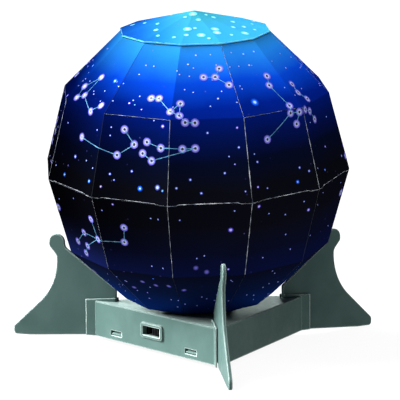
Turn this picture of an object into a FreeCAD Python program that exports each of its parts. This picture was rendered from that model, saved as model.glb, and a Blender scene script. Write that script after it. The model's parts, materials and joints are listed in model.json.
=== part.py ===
"""Home planetarium projector: a faceted card dome with a lamp at its centre, on a three-legged moulded base.

Frame: millimetres, +Z up, origin on the floor under the centre of the base, front leg towards -Y.
"""
import FreeCAD
import Part
import math
import os
from FreeCAD import Vector as V

# ---------------------------------------------------------------- driving dimensions, millimetres and degrees
# base housing
box_height = 26.6          # top of the housing above the floor
floor_gap = 3.0            # gap under the housing and its plate, which the feet hold off the floor
box_inradius = 42.0        # centre to each side face
wall = 2.0                 # moulded wall of the housing
edge_round = 0.7           # rounded edges of the housing
leg_angles = {"front": -90.0, "right": 30.0, "left": 150.0}

# legs and the corner channels that hold them
leg_thick = 2.3
leg_edge = 0.5             # rounded edges of a leg
slot_play = 0.6            # gap on each side of a leg in its channel
channel_wall = 0.9
channel_outset = 2.8       # the channel walls stand this far out past the housing's corner
rib_length = 22.4          # length of the ribs beside a leg, along the top
rib_rise = 2.6             # height of a rib over the top at its inner end
rib_fall = 0.8             # the same at the channel's end
slot_length = 16.8         # the slot is open down to the plate over this length
leg_gap = 0.3              # between the leg and the ends of its channel
foot_length = 34.0         # from the waist out to the foot's tip
foot_pad = 12.0            # length of the flat under the tip that stands on the floor
tip_height = 5.6           # height of the foot's tip
tip_round = 2.4
sweep_height = 35.5        # the slope of the foot and the upright waist would meet at this height
waist_outset = 9.3         # the leg's outer edge, outside the dome's radius; the knob stands over it
waist_round = 6.0
flare = 1.1                # rise over run where that edge widens to the knob
knob_height = 64.6
knob_round = 5.8           # radius of the knob itself
neck_drop = 2.7            # the straight inner edge starts this far under the knob's centre
nose_rise = 8.5            # height of the leg's inner end over the housing
nose_round = 1.8
tongue_lift = 0.4          # gap under the tongue over the bottom plate

# dome of folded card
dome_radius = 100.0        # corners of the dome lie on a sphere of this radius
dome_sides = 12
card = 0.8                 # thickness of the card
seam = 0.4                 # open seam between two neighbouring sheets
dome_clearance = 0.93      # between the dome's lowest corner and the housing
dome_shift = -4.93         # the dome's centre stands this far to the side of the base's centre
dome_lean = 10.0           # the dome's axis leans by this angle
lean_azimuth = -98.0       # towards this direction
first_line = -136.0        # azimuth of the dome's first corner line
upper_latitude = 30.0
cap_latitude = 61.2
rim_latitude = 60.0        # of the bottom rim, below the equator
cap_peak = 99.8            # where the cap's faces would meet the gores' level, above the dome's centre
cap_lift = 0.4             # gap between the cap and the gores that it lies on
opening_radius = 33.3      # round opening of the bottom panel

# boss, turntable ring and lamp, on the leaning axis
boss_radius = 24.0
spigot_radius = 19.5
ring_clearance = 0.06      # running clearance of the ring on its spigot
ring_flange_radius = 38.0
ring_flange = 2.0
ring_seat_gap = 0.1        # the ring's flange runs this far over the boss
ring_hub_radius = 23.5     # hub round the spigot
ring_hub_height = 4.3      # the hub's height over the flange
ring_collar_height = 3.0   # the collar that centres the dome, at the edge of its opening
ring_collar_wall = 1.6
axial_play = 0.3           # between the ring and the lamp plate that keeps it on
collar_gap = 0.3           # radial gap between the collar and the bottom panel
lamp_plate_radius = 22.5
lamp_plate_thick = 2.0
lamp_screw_circle = 14.0   # radius of the circle of its screws
lamp_screw_length = 4.5
post_radius = 5.0
post_bore = 3.4
post_foot_radius = 8.5
post_foot_height = 9.0
wire_hole = 6.5            # radius of the wire hole through boss and lamp plate
socket_radius = 6.2
socket_length = 13.0
cap_screw_radius = 4.8     # the lamp's own screw cap
glass_radius = 5.6         # the lamp's glass
filament_height = 0.0      # filament at the dome's centre

# switch in the front-left side
switch_height = 14.9       # centre of the switch above the floor
bezel_size = (24.8, 10.0)
bezel_rise = 1.1
window_size = (19.4, 6.0)
switch_plate_thick = 0.6
switch_body_size = (17.0, 8.6, 5.6)
knob_size = (6.8, 4.1)
knob_gap = 0.15            # between the knob and its slot, above and below
knob_rise = 1.7            # the knob stands this far out of the switch plate
knob_end_gap = 0.3         # left at each end of the slot
switch_travel = 6.0
terminal_pitch = 4.7

# snap windows and hooks
snap_offset = 42.4         # along the side, from its middle
snap_size = (12.6, 3.2)
snap_height = 7.7
hook_thick = 1.5
hook_play = 0.8            # at each end of a hook in its window

# bottom plate, battery bay and door
plate_thick = 2.0
plate_gap = 0.3
plate_screw_inset = 5.9    # the plate's screws lie this far inside the ribs
plate_screw_length = 8.0
screw_post = 3.0           # radius of the posts that they go into
rest_pad = 8.0             # radius of the pad under the plate that reaches down to the floor
rest_pad_inset = 0.7       # the pad's edge stays this far from the gap round the door
cell_radius = 7.25
cell_length = 49.2
cell_nub = (2.75, 1.3)     # radius, height
cell_gap = 0.5
contact_room = 3.6         # room for a contact at each end of a cell
bay_wall = 1.4
bay_y = 17.5               # middle of the battery bay
door_gap = 0.3
door_lap = 1.0             # the door laps the bay walls by this much
door_tail = 9.0            # the door reaches this far past the bay, for its screw
door_screw_length = 5.0
contact_thick = 0.4
contact_half = 4.5         # half the width of a contact's back
screw_radius = 1.25
screw_head = (2.5, 1.1)    # radius, height
thread_gap = 0.05          # radial gap between a screw and its hole
shank_gap = 0.2            # the same where it passes through a plate
head_sink = 0.1            # screw heads lie this deep under the surface
wire_radius = 0.6

# ---------------------------------------------------------------- sizes that follow
channel_half = leg_thick / 2 + slot_play + channel_wall
housing_corner = 2 * box_inradius                       # radius of the triangle's corners
channel_end = housing_corner + channel_outset
rib_start = channel_end - rib_length
slot_start = channel_end - slot_length
waist_radius = dome_radius + waist_outset
leg_reach = waist_radius + foot_length
plate_screw_radius = rib_start - plate_screw_inset
plate_bottom = floor_gap
plate_top = plate_bottom + plate_thick
top_under = box_height - wall
fold = 1.0 - card / (dome_radius * math.cos(math.radians(180.0 / dome_sides)) ** 2)
line_step = 360.0 / dome_sides

lean = math.radians(dome_lean)
lean_to = math.radians(lean_azimuth)
axis = V(math.sin(lean) * math.cos(lean_to), math.sin(lean) * math.sin(lean_to), math.cos(lean))
rim_drop = dome_radius * math.sin(math.radians(rim_latitude) + lean)   # lowest corner, under the centre
dome_centre = V(dome_shift, 0, box_height + dome_clearance + rim_drop)
tilt = FreeCAD.Rotation(V(-math.sin(lean_to), math.cos(lean_to), 0), dome_lean)
on_axis = FreeCAD.Placement(dome_centre, tilt)

rim_level = -dome_radius * math.sin(math.radians(rim_latitude))     # bottom rim, from the dome's centre
flange_bottom = rim_level - ring_flange
shoulder_level = flange_bottom - ring_seat_gap
spigot_top = rim_level + ring_hub_height + axial_play
lamp_plate_top = spigot_top + lamp_plate_thick


# ---------------------------------------------------------------- helpers
def box(x0, x1, y0, y1, z0, z1):
    return Part.makeBox(x1 - x0, y1 - y0, z1 - z0, V(x0, y0, z0))


def cylinder(radius, z0, z1, x=0.0, y=0.0):
    return Part.makeCylinder(radius, z1 - z0, V(x, y, z0))


def tube(outer, inner, z0, z1):
    return cylinder(outer, z0, z1).cut(cylinder(inner, z0, z1))


def polygon(points):
    return Part.Wire(Part.makePolygon(list(points) + [points[0]]))


def prism(points, direction):
    return Part.Face(polygon(points)).extrude(direction)


def fused(shapes):
    shapes = list(shapes)
    whole = shapes[0]
    if len(shapes) > 1:
        whole = whole.multiFuse(shapes[1:])
    return whole.removeSplitter()


def placed(shape, placement):
    moved = shape.copy()
    moved.Placement = placement.multiply(moved.Placement)
    return moved


def turned(shape, angle, centre=V(0, 0, 0), about=V(0, 0, 1)):
    moved = shape.copy()
    moved.rotate(centre, about, angle)
    return moved


def spun(profile):
    """A solid of revolution about Z from (radius, height) corners."""
    return Part.Face(polygon([V(r, 0, z) for r, z in profile])).revolve(V(0, 0, 0), V(0, 0, 1), 360)


def softened(shape, radius, choose):
    edges = [edge for edge in shape.Edges if choose(edge)]
    return shape.makeFillet(radius, edges)


def save(name, shape):
    os.makedirs("parts", exist_ok=True)
    solids = shape.Solids
    if not shape.isValid() or not solids:
        raise ValueError("bad solid: " + name)
    shape.exportStep("parts/" + name + ".step")
    print(name, len(solids), round(shape.Volume))


def triangle(inradius, z0, z1):
    """Three-sided prism with a corner towards each leg."""
    points = []
    for angle in leg_angles.values():
        a = math.radians(angle)
        points.append(V(2 * inradius * math.cos(a), 2 * inradius * math.sin(a), z0))
    return prism(points, V(0, 0, z1 - z0))


# side frame: x along the front-left side away from the front leg, y outwards, z up
side_normal = leg_angles["front"] - 60.0


def on_side(shape):
    return turned(shape, side_normal - 90.0)


# ---------------------------------------------------------------- base housing
def channel_walls(inner):
    """The pair of walls that hold one leg, built for a leg along +X; inner leaves out the slot."""
    outline = [V(rib_start, -channel_half, floor_gap), V(channel_end, -channel_half, floor_gap),
               V(channel_end, -channel_half, box_height + rib_fall),
               V(rib_start, -channel_half, box_height + rib_rise)]
    block = prism(outline, V(0, 2 * channel_half, 0))
    if inner:
        return block

    def sloping_top_edge(edge):
        b = edge.BoundBox
        return b.YLength < 0.01 and b.ZMax > box_height and b.XLength > 1

    return softened(block, channel_wall * 0.6, sloping_top_edge)


def leg_slot():
    """Room for one leg, open at the top and at the outer end, with its sill at the slot's inner end."""
    half = leg_thick / 2 + slot_play
    deep = box(slot_start, channel_end + 5, -half, half, 0, box_height + 10)
    shallow = box(rib_start - 1, slot_start + 1, -half, half, box_height, box_height + 10)
    return deep.fuse(shallow)


def bezel():
    w, h = bezel_size
    plate = box(-w / 2, w / 2, box_inradius - wall / 2, box_inradius + bezel_rise,
                switch_height - h / 2, switch_height + h / 2)
    plate = softened(plate, 2.4, lambda e: e.BoundBox.YLength > 1 and e.BoundBox.XLength < 0.01)
    front = lambda e: e.BoundBox.YMin > box_inradius + bezel_rise - 0.01
    return on_side(softened(plate, 0.5, front))


def switch_window():
    w, h = window_size
    cut = box(-w / 2, w / 2, box_inradius - wall - 1, box_inradius + bezel_rise + 1,
              switch_height - h / 2, switch_height + h / 2)
    return on_side(softened(cut, 0.7, lambda e: e.BoundBox.YLength > 1))


def snap_window(side):
    w, h = snap_size
    x = side * snap_offset
    return on_side(box(x - w / 2, x + w / 2, box_inradius - wall - 1, box_inradius + 1,
                       snap_height - h / 2, snap_height + h / 2))


def screw_places():
    """Plate screws: one near each of the two rear corners, and one near the front corner."""
    for angle in leg_angles.values():
        a = math.radians(angle)
        yield plate_screw_radius * math.cos(a), plate_screw_radius * math.sin(a)


def boss():
    """Leaning round boss with a spigot, closed below by the plane of the housing's top."""
    body = cylinder(boss_radius, 2 * shoulder_level, shoulder_level)
    body = body.fuse(cylinder(spigot_radius, shoulder_level - 1, spigot_top))
    body = placed(body, on_axis)
    over_top = box(-housing_corner, housing_corner, -housing_corner, housing_corner, top_under, dome_centre.z)
    return body.common(over_top)


def boss_hollow():
    """The boss is moulded hollow from below, with a deck under the lamp plate."""
    hollow = cylinder(spigot_radius - wall, 2 * shoulder_level, spigot_top - wall)
    bore = cylinder(wire_hole, 2 * shoulder_level, spigot_top + 1)
    pilots = [cylinder(screw_radius + thread_gap, spigot_top - wall - 1, spigot_top + 1, x, y)
              for x, y in lamp_screw_places()]
    room = fused([hollow, bore]).fuse(pilots)
    return placed(room, on_axis)


def lamp_screw_places():
    for k in range(3):
        a = math.radians(120 * k + 30)
        yield lamp_screw_circle * math.cos(a), lamp_screw_circle * math.sin(a)


def base_housing():
    outer = triangle(box_inradius, floor_gap, box_height)
    top_edges = lambda e: e.BoundBox.ZMin > box_height - 0.01
    outer = softened(outer, edge_round, top_edges)
    walls = [turned(channel_walls(False), a) for a in leg_angles.values()]
    cavity = triangle(box_inradius - wall, floor_gap - 1, top_under)
    for a in leg_angles.values():
        cavity = cavity.cut(turned(channel_walls(True), a))
    body = outer.multiFuse(walls + [bezel(), boss()])
    body = body.cut(cavity)
    posts = [cylinder(screw_post, plate_top, box_height - wall / 2, x, y) for x, y in screw_places()]
    body = body.multiFuse(posts)
    cuts = [turned(leg_slot(), a) for a in leg_angles.values()]
    cuts += [switch_window(), snap_window(-1), snap_window(1), boss_hollow()]
    cuts += [cylinder(screw_radius + thread_gap, plate_top - 1, plate_top + plate_screw_length, x, y)
             for x, y in screw_places()]
    return body.cut(fused(cuts)).removeSplitter()


# ---------------------------------------------------------------- legs
def rounded_outline(corners):
    """A closed wire in the plane y = 0 from (radius, height, rounding) corners, with tangent arcs."""
    points = [V(r, 0, z) for r, z, rounding in corners]
    count = len(points)
    edges = []
    ends = []
    for k in range(count):
        here = points[k]
        before = (points[k - 1] - here).normalize()
        after = (points[(k + 1) % count] - here).normalize()
        rounding = corners[k][2]
        if rounding == 0:
            ends.append((here, here))
            continue
        half = before.getAngle(after) / 2
        back = rounding / math.tan(half)
        middle = (before + after).normalize()
        crown = here + middle * (rounding / math.sin(half) - rounding)
        ends.append((here + before * back, here + after * back))
        edges.append(Part.Arc(here + before * back, crown, here + after * back).toShape())
    for k in range(count):
        edges.append(Part.LineSegment(ends[k - 1][1], ends[k][0]).toShape())
    return Part.Wire(Part.__sortEdges__(edges))


def leg():
    """One leg standing in the plane y = 0, along +X: foot, waist, knob, inner slope and tongue."""
    knob_far = waist_radius + knob_round
    knob_in = knob_far - 2 * knob_round
    knob_top = knob_height + knob_round
    flare_top = knob_height - knob_round * 0.4
    waist_top = flare_top - (knob_far - waist_radius) * flare
    notch = channel_end + leg_gap
    nose = rib_start + leg_gap
    nose_height = box_height + nose_rise
    sill = slot_start + leg_gap
    tongue = plate_top + tongue_lift
    slope = math.atan2(sweep_height - tip_height, foot_length)
    sweep_back = 0.85 * min(math.hypot(foot_length, sweep_height - tip_height), waist_top - sweep_height)
    sweep_round = sweep_back * math.tan(math.radians(45) + slope / 2)
    rise = math.atan2(knob_height - neck_drop - nose_height, knob_in - nose)
    neck_round = 0.9 * neck_drop * math.tan(math.radians(45) + rise / 2)
    corners = [
        (notch, floor_gap, 0),
        (leg_reach - foot_pad, 0, 0),
        (leg_reach, 0, tip_round),
        (leg_reach, tip_height, tip_round),
        (waist_radius, sweep_height, sweep_round),
        (waist_radius, waist_top, waist_round),
        (knob_far, flare_top, knob_round * 0.6),
        (knob_far, knob_top, knob_round * 0.98),
        (knob_in, knob_top, knob_round * 0.98),
        (knob_in, knob_height - neck_drop, neck_round),
        (nose, nose_height, nose_round),
        (nose, box_height, 0),
        (sill, box_height, 0),
        (sill, tongue, 0),
        (notch, tongue, 0),
    ]
    plate = Part.Face(rounded_outline(corners)).extrude(V(0, leg_thick, 0))
    plate.translate(V(0, -leg_thick / 2, 0))

    def outline_edge(edge):
        b = edge.BoundBox
        flat = b.YLength < 0.01
        over_box = b.ZMin > box_height - 0.01 and b.ZMax > box_height + 0.5
        foot = b.XMin > notch + 5 and b.ZMax > 0.01
        return flat and (over_box or foot)

    return softened(plate, leg_edge, outline_edge)


# ---------------------------------------------------------------- dome of folded card
latitudes = {"cap": cap_latitude, "upper": upper_latitude, "equator": 0.0,
             "lower": -upper_latitude, "rim": -rim_latitude}
levels = list(latitudes)


def corner(level, line):
    lat = math.radians(latitudes[level])
    az = math.radians(first_line + line_step * line)
    flat = dome_radius * math.cos(lat)
    return V(flat * math.cos(az), flat * math.sin(az), dome_radius * math.sin(lat))


def facet(top, bottom, line, left_open, right_open, top_open, bottom_open):
    """One flat face of card between two levels and two lines. An open edge stands back by half a seam;
    its sides run towards the dome's centre, so that faces of one sheet meet along their folds."""
    half = seam / 2

    def along(level, left, right):
        a = corner(level, line)
        b = corner(level, line + 1)
        unit = (b - a).normalize()
        return a + unit * (half if left else 0), b - unit * (half if right else 0)

    a, b = along(top, left_open, right_open)
    c, d = along(bottom, left_open, right_open)
    down_left = (c - a).normalize()
    down_right = (d - b).normalize()
    if top_open:
        a = a + down_left * half
        b = b + down_right * half
    if bottom_open:
        c = c - down_left * half
        d = d - down_right * half
    outer = [a, b, d, c]
    inner = [q * fold for q in outer]
    faces = [Part.Face(polygon(outer)), Part.Face(polygon(inner))]
    for k in range(4):
        m = (k + 1) % 4
        faces.append(Part.Face(polygon([outer[k], outer[m], inner[m], inner[k]])))
    return Part.Solid(Part.Shell(faces))


def upper_gore(k):
    """Two columns wide above the upper level, then one column down to the equator."""
    line = 2 * k + 1
    pieces = [
        facet("cap", "upper", line - 1, True, False, True, True),
        facet("cap", "upper", line, False, True, True, False),
        facet("upper", "equator", line, True, True, False, True),
    ]
    return fused(pieces)


def side_panel(k):
    return facet("upper", "equator", 2 * k, True, True, True, True)


def lower_strip(line):
    pieces = [
        facet("equator", "lower", line, True, True, True, False),
        facet("lower", "rim", line, True, True, False, False),
    ]
    return fused(pieces)


def top_cap():
    """Twelve triangles folded up from one sheet, lying over the edges of the gores."""
    peak = V(0, 0, cap_peak)
    rise = 1.0 + cap_lift / dome_radius + (1.0 - fold)
    rim = [corner("cap", line) for line in range(dome_sides)]
    outer = [q * rise for q in rim]
    inner = [q * (rise - (1.0 - fold)) for q in rim]
    high = peak * rise
    low = peak * (rise - (1.0 - fold))
    faces = []
    for k in range(dome_sides):
        m = (k + 1) % dome_sides
        faces.append(Part.Face(polygon([outer[k], outer[m], high])))
        faces.append(Part.Face(polygon([inner[k], inner[m], low])))
        faces.append(Part.Face(polygon([outer[k], outer[m], inner[m], inner[k]])))
    return Part.Solid(Part.Shell(faces))


def bottom_panel():
    """Flat panel across the lower rim, with the round opening that the ring's collar fills."""
    reach = dome_radius * math.cos(math.radians(rim_latitude)) * fold - seam
    points = []
    for line in range(dome_sides):
        az = math.radians(first_line + line_step * line)
        points.append(V(reach * math.cos(az), reach * math.sin(az), rim_level))
    sheet = prism(points, V(0, 0, card))
    return sheet.cut(cylinder(opening_radius, rim_level - 1, rim_level + card + 1))


# ---------------------------------------------------------------- turntable ring and lamp
def turntable_ring():
    """Flange under the dome's bottom panel, hub round the spigot and collar in the dome's opening."""
    bore = spigot_radius + ring_clearance
    collar = opening_radius - collar_gap
    inner = collar - ring_collar_wall
    collar_top = rim_level + ring_collar_height
    hub_top = rim_level + ring_hub_height
    profile = [(bore, flange_bottom), (ring_flange_radius - 0.5, flange_bottom),
               (ring_flange_radius, flange_bottom + 0.5), (ring_flange_radius, rim_level),
               (collar, rim_level), (collar, collar_top - 0.8), (collar - 0.8, collar_top),
               (inner, collar_top), (inner, rim_level), (ring_hub_radius, rim_level),
               (ring_hub_radius, hub_top), (bore, hub_top)]
    return spun(profile)


def lamp_plate():
    body = spun([(0, spigot_top), (lamp_plate_radius, spigot_top), (lamp_plate_radius, lamp_plate_top - 0.6),
                 (lamp_plate_radius - 0.6, lamp_plate_top), (0, lamp_plate_top)])
    collar = tube(post_foot_radius + 2, post_foot_radius + thread_gap,
                  lamp_plate_top - 0.5, lamp_plate_top + 3)
    cuts = [cylinder(wire_hole, spigot_top - 1, lamp_plate_top + 5)]
    cuts += [cylinder(screw_radius + shank_gap, spigot_top - 1, lamp_plate_top + 1, x, y)
             for x, y in lamp_screw_places()]
    return body.fuse(collar).cut(fused(cuts)).removeSplitter()


def screw(head_under, length, x, y):
    """Pan-head screw, head up, its shank running down from head_under."""
    r, h = screw_head
    profile = [(0, head_under - length), (screw_radius * 0.4, head_under - length),
               (screw_radius, head_under - length + 1.5), (screw_radius, head_under), (r, head_under),
               (r, head_under + h * 0.55), (r * 0.7, head_under + h), (0, head_under + h)]
    body = spun(profile)
    groove = box(-r * 0.6, r * 0.6, -0.3, 0.3, head_under + h * 0.55, head_under + h + 1)
    cross = groove.fuse(turned(groove, 90))
    body = body.cut(cross)
    body.translate(V(x, y, 0))
    return body


def lamp_plate_screws():
    return Part.makeCompound([screw(lamp_plate_top, lamp_screw_length, x, y) for x, y in lamp_screw_places()])


post_foot = lamp_plate_top
lamp_top = filament_height + 7.5
cap_bottom = filament_height - 16.5
cap_top = filament_height - 8.0
socket_top = cap_top - 0.5
socket_bottom = socket_top - socket_length


def lamp_post():
    profile = [(post_bore, post_foot), (post_foot_radius, post_foot), (post_foot_radius, post_foot + 3.5),
               (post_radius, post_foot + post_foot_height), (post_radius, socket_bottom - 3),
               (socket_radius + 1.2, socket_bottom), (socket_radius + 1.2, socket_bottom + 6),
               (socket_radius + 0.05, socket_bottom + 6), (socket_radius + 0.05, socket_bottom),
               (post_bore, socket_bottom)]
    return spun(profile)


def lamp_socket():
    """Brass shell with a rolled mouth; the lamp's cap screws into it."""
    profile = [(cap_screw_radius + 0.25, socket_bottom + 2), (socket_radius, socket_bottom + 2),
               (socket_radius, socket_top - 0.8), (socket_radius + 0.7, socket_top - 0.5),
               (socket_radius + 0.5, socket_top), (cap_screw_radius + 0.25, socket_top)]
    return spun(profile)


def socket_insulator():
    profile = [(1.0, socket_bottom), (socket_radius, socket_bottom), (socket_radius, socket_bottom + 2),
               (2.0, socket_bottom + 2), (2.0, cap_bottom - 1.2), (1.0, cap_bottom - 1.2)]
    return spun(profile)


def lamp_cap():
    """Screw cap of the lamp: three rolled thread ridges and a centre contact."""
    core = cap_screw_radius - 0.4
    profile = [(0, cap_bottom - 1.1), (1.5, cap_bottom - 1.1), (1.9, cap_bottom - 0.4), (1.9, cap_bottom),
               (core, cap_bottom + 1.0)]
    pitch = 1.8
    for k in range(3):
        z = cap_bottom + 1.2 + k * pitch
        profile += [(core, z), (cap_screw_radius, z + pitch * 0.35), (cap_screw_radius, z + pitch * 0.55),
                    (core, z + pitch * 0.9)]
    profile += [(core, cap_top), (0, cap_top)]
    return spun(profile)


def lamp_glass():
    """Round glass envelope with a short neck in the cap."""
    outer = glass_radius
    ball_z = lamp_top - outer
    neck_r = cap_screw_radius - 0.9
    hollow = outer - 0.7
    ball = Part.makeSphere(outer, V(0, 0, ball_z)).fuse(cylinder(neck_r, cap_top, ball_z))
    empty = Part.makeSphere(hollow, V(0, 0, ball_z)).fuse(cylinder(neck_r - 0.7, cap_top + 0.8, ball_z))
    return ball.cut(empty).removeSplitter()


def filament():
    """Two support wires through the glass foot with the short filament bar between them."""
    posts = [cylinder(0.3, cap_top + 0.8, filament_height, x, 0) for x in (-1.6, 1.6)]
    bar = Part.makeCylinder(0.25, 3.2, V(-1.6, 0, filament_height - 0.2), V(1, 0, 0))
    return fused(posts + [bar])


# ---------------------------------------------------------------- switch
switch_face = box_inradius - wall          # inner side of the wall that the switch plate lies against
slot_width = knob_size[0] + switch_travel + 2 * knob_end_gap
slot_height = knob_size[1] + 2 * knob_gap
sink_depth = screw_head[1] + head_sink     # recess for a screw head in the plate and the door


def switch_slot(depth):
    """The slot that the knob slides in, from the given depth outwards."""
    return box(-slot_width / 2, slot_width / 2, depth, switch_face + 1,
               switch_height - slot_height / 2, switch_height + slot_height / 2)


def switch_plate():
    w = switch_body_size[0] + 7
    plate = box(-w / 2, w / 2, switch_face - switch_plate_thick, switch_face,
                switch_height - switch_body_size[1] / 2, switch_height + switch_body_size[1] / 2)
    return on_side(plate.cut(switch_slot(switch_face - 2)))


def switch_body():
    w, h, d = switch_body_size
    y1 = switch_face - switch_plate_thick
    body = box(-w / 2, w / 2, y1 - d, y1, switch_height - h / 2, switch_height + h / 2)
    return on_side(body.cut(switch_slot(y1 - d + 1.5)))


def switch_terminals():
    y1 = switch_face - switch_plate_thick - switch_body_size[2]
    pins = []
    for k in (-1, 0, 1):
        x = k * terminal_pitch
        pins.append(box(x - 0.8, x + 0.8, y1 - 3.4, y1, switch_height - 0.25, switch_height + 0.25))
    return on_side(Part.makeCompound(pins))


def switch_knob():
    """Sliding knob at the end of the slot next to the front leg, with three grip ridges."""
    w, h = knob_size
    x0 = knob_end_gap - slot_width / 2
    x1 = x0 + w
    y0 = switch_face - switch_plate_thick - 3.6
    y1 = switch_face + knob_rise
    z0 = switch_height - h / 2
    z1 = switch_height + h / 2
    body = box(x0, x1, y0, y1, z0, z1)
    cuts = []
    for k in range(3):
        x = x0 + w * (k + 1) / 4
        cuts.append(box(x - 0.4, x + 0.4, y1 - 0.6, y1 + 1, z0 - 1, z1 + 1))
    return on_side(body.cut(fused(cuts)))


# ---------------------------------------------------------------- bottom plate, cells and door
bay_half_x = cell_length / 2 + contact_room
bay_half_y = cell_radius * 2 + cell_gap / 2
cell_offset = bay_half_y - cell_radius     # the cells lie this far from the middle of the bay
cell_z = plate_top + cell_radius + 0.3
bay_top = cell_z + cell_radius + 0.5
bay_roof = bay_top + bay_wall
door_x0 = -bay_half_x - door_lap
door_x1 = bay_half_x + door_tail
door_half_y = bay_half_y + door_lap
door_screw_x = bay_half_x + bay_wall + 4.0


def snap_hook(side):
    """Upright finger of the plate with a wedge that stands in its snap window."""
    w = snap_size[0] - 2 * hook_play
    x = side * snap_offset
    y1 = box_inradius - wall - plate_gap
    z0 = snap_height - snap_size[1] / 2 + 0.3
    z1 = snap_height + snap_size[1] / 2 - 0.4
    finger = box(x - w / 2, x + w / 2, y1 - hook_thick, y1, plate_bottom + 0.2, z1 + 1.2)
    wedge = prism([V(x - w / 2, y1 - 0.5, z0), V(x - w / 2, y1 + wall - 0.1, z0),
                   V(x - w / 2, y1 + wall - 0.1, z0 + 0.9), V(x - w / 2, y1 - 0.5, z1 + 0.4)], V(w, 0, 0))
    return on_side(finger.fuse(wedge))


def base_plate():
    body = triangle(box_inradius - wall - plate_gap, plate_bottom, plate_top)
    for a in leg_angles.values():
        corner_cut = box(rib_start - plate_gap, housing_corner + 1, -box_inradius, box_inradius,
                         plate_bottom - 1, plate_top + 1)
        body = body.cut(turned(corner_cut, a))
    bay = box(-bay_half_x - bay_wall, bay_half_x + bay_wall, bay_y - bay_half_y - bay_wall,
              bay_y + bay_half_y + bay_wall, plate_bottom, bay_roof)
    tail = box(bay_half_x, door_x1 + 2.0, bay_y - 7, bay_y + 7, plate_bottom, plate_top + 5.5)
    pad_y = bay_y - door_half_y - door_gap - rest_pad_inset - rest_pad
    pad = cylinder(rest_pad, 0, plate_top, 0, pad_y)
    body = body.multiFuse([bay, tail, pad] + [snap_hook(side) for side in (-1, 1)])
    inside = box(-bay_half_x, bay_half_x, bay_y - bay_half_y, bay_y + bay_half_y, plate_bottom - 1, bay_top)
    door_room = box(door_x0 - door_gap, door_x1 + door_gap, bay_y - door_half_y - door_gap,
                    bay_y + door_half_y + door_gap, plate_bottom - 1, plate_top)
    cuts = [inside, door_room]
    cuts.append(cylinder(screw_radius + thread_gap, plate_top - 1, plate_top + 4.5, door_screw_x, bay_y))
    for x, y in screw_places():
        cuts.append(cylinder(screw_radius + shank_gap, plate_bottom - 1, plate_top + 1, x, y))
        cuts.append(cylinder(screw_head[0] + shank_gap, plate_bottom - 1, plate_bottom + sink_depth, x, y))
    for sx in (-1, 1):
        for k in (-1, 1):
            y = bay_y + k * cell_offset
            x = sx * bay_half_x
            cuts.append(box(x - 1.0, x + 1.0, y - 1.6, y + 1.6, bay_top - 3, bay_roof))
    return body.cut(fused(cuts)).removeSplitter()


def battery_door():
    body = box(door_x0, door_x1, bay_y - door_half_y, bay_y + door_half_y, plate_bottom, plate_top - 0.1)
    ridges = []
    for k in range(4):
        x = -bay_half_x + 6 + 2.6 * k
        ridges.append(box(x, x + 1.2, bay_y - 8, bay_y + 8, plate_bottom - 1, plate_bottom + 0.4))
    hole = cylinder(screw_radius + thread_gap, plate_bottom - 1, plate_top + 1, door_screw_x, bay_y)
    sink = cylinder(screw_head[0] + shank_gap, plate_bottom - 1, plate_bottom + sink_depth,
                    door_screw_x, bay_y)
    return body.cut(fused(ridges + [hole, sink]))


def screw_up(head_bottom, length, x, y):
    """The same screw seen from below: head down, shank running up."""
    body = screw(0, length, 0, 0)
    body.rotate(V(0, 0, 0), V(1, 0, 0), 180)
    body.translate(V(x, y, head_bottom + screw_head[1]))
    return body


def plate_screws():
    return Part.makeCompound([screw_up(plate_bottom + head_sink, plate_screw_length, x, y)
                              for x, y in screw_places()])


def cell(side):
    """An AA cell along X; side -1 is the front one, with its positive nub to the left."""
    end = cell_length / 2
    shoulder = end - cell_nub[1]
    profile = [(0, -end), (cell_radius - 0.8, -end), (cell_radius, -end + 0.8), (cell_radius, end - 1.2),
               (cell_radius - 0.8, shoulder), (cell_nub[0], shoulder), (cell_nub[0], end), (0, end)]
    body = spun(profile)
    body.rotate(V(0, 0, 0), V(0, 1, 0), 90 * side)
    body.translate(V(0, bay_y + side * cell_offset, cell_z))
    return body


def contact_leaf(y):
    """Bent strip at the right end: an upright on the bay wall and a leaf that presses on the cell."""
    wall_x = bay_half_x - 0.1
    inner_x = wall_x - contact_thick
    reach = cell_length / 2 + 0.1
    back = box(inner_x, wall_x, y - contact_half, y + contact_half, cell_z - 5, cell_z + 5)
    leaf = prism([V(inner_x, y - 2.6, cell_z - 5), V(reach, y - 2.6, cell_z), V(inner_x, y - 2.6, cell_z + 5),
                  V(inner_x, y - 2.6, cell_z + 4.4), V(reach + 0.55, y - 2.6, cell_z),
                  V(inner_x, y - 2.6, cell_z - 4.4)], V(0, 5.2, 0))
    return fused([back, leaf])


def contact_bridge():
    """At the right end: joins the front cell's flat end to the rear cell's nub."""
    y0 = bay_y - cell_offset
    y1 = bay_y + cell_offset
    wall_x = bay_half_x - 0.1
    strip = box(wall_x - contact_thick, wall_x, y0, y1, cell_z - 2, cell_z + 2)
    return fused([contact_leaf(y0), contact_leaf(y1), strip])


def end_contact(y):
    """At the left end: a leaf with a soldering tag that rises through the roof of the bay."""
    wall_x = bay_half_x - 0.1
    tag = box(wall_x - contact_thick, wall_x, y - 1.2, y + 1.2, cell_z, bay_roof + 0.9)
    strip = fused([contact_leaf(y), tag])
    return strip.mirror(V(0, 0, 0), V(1, 0, 0))


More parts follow.
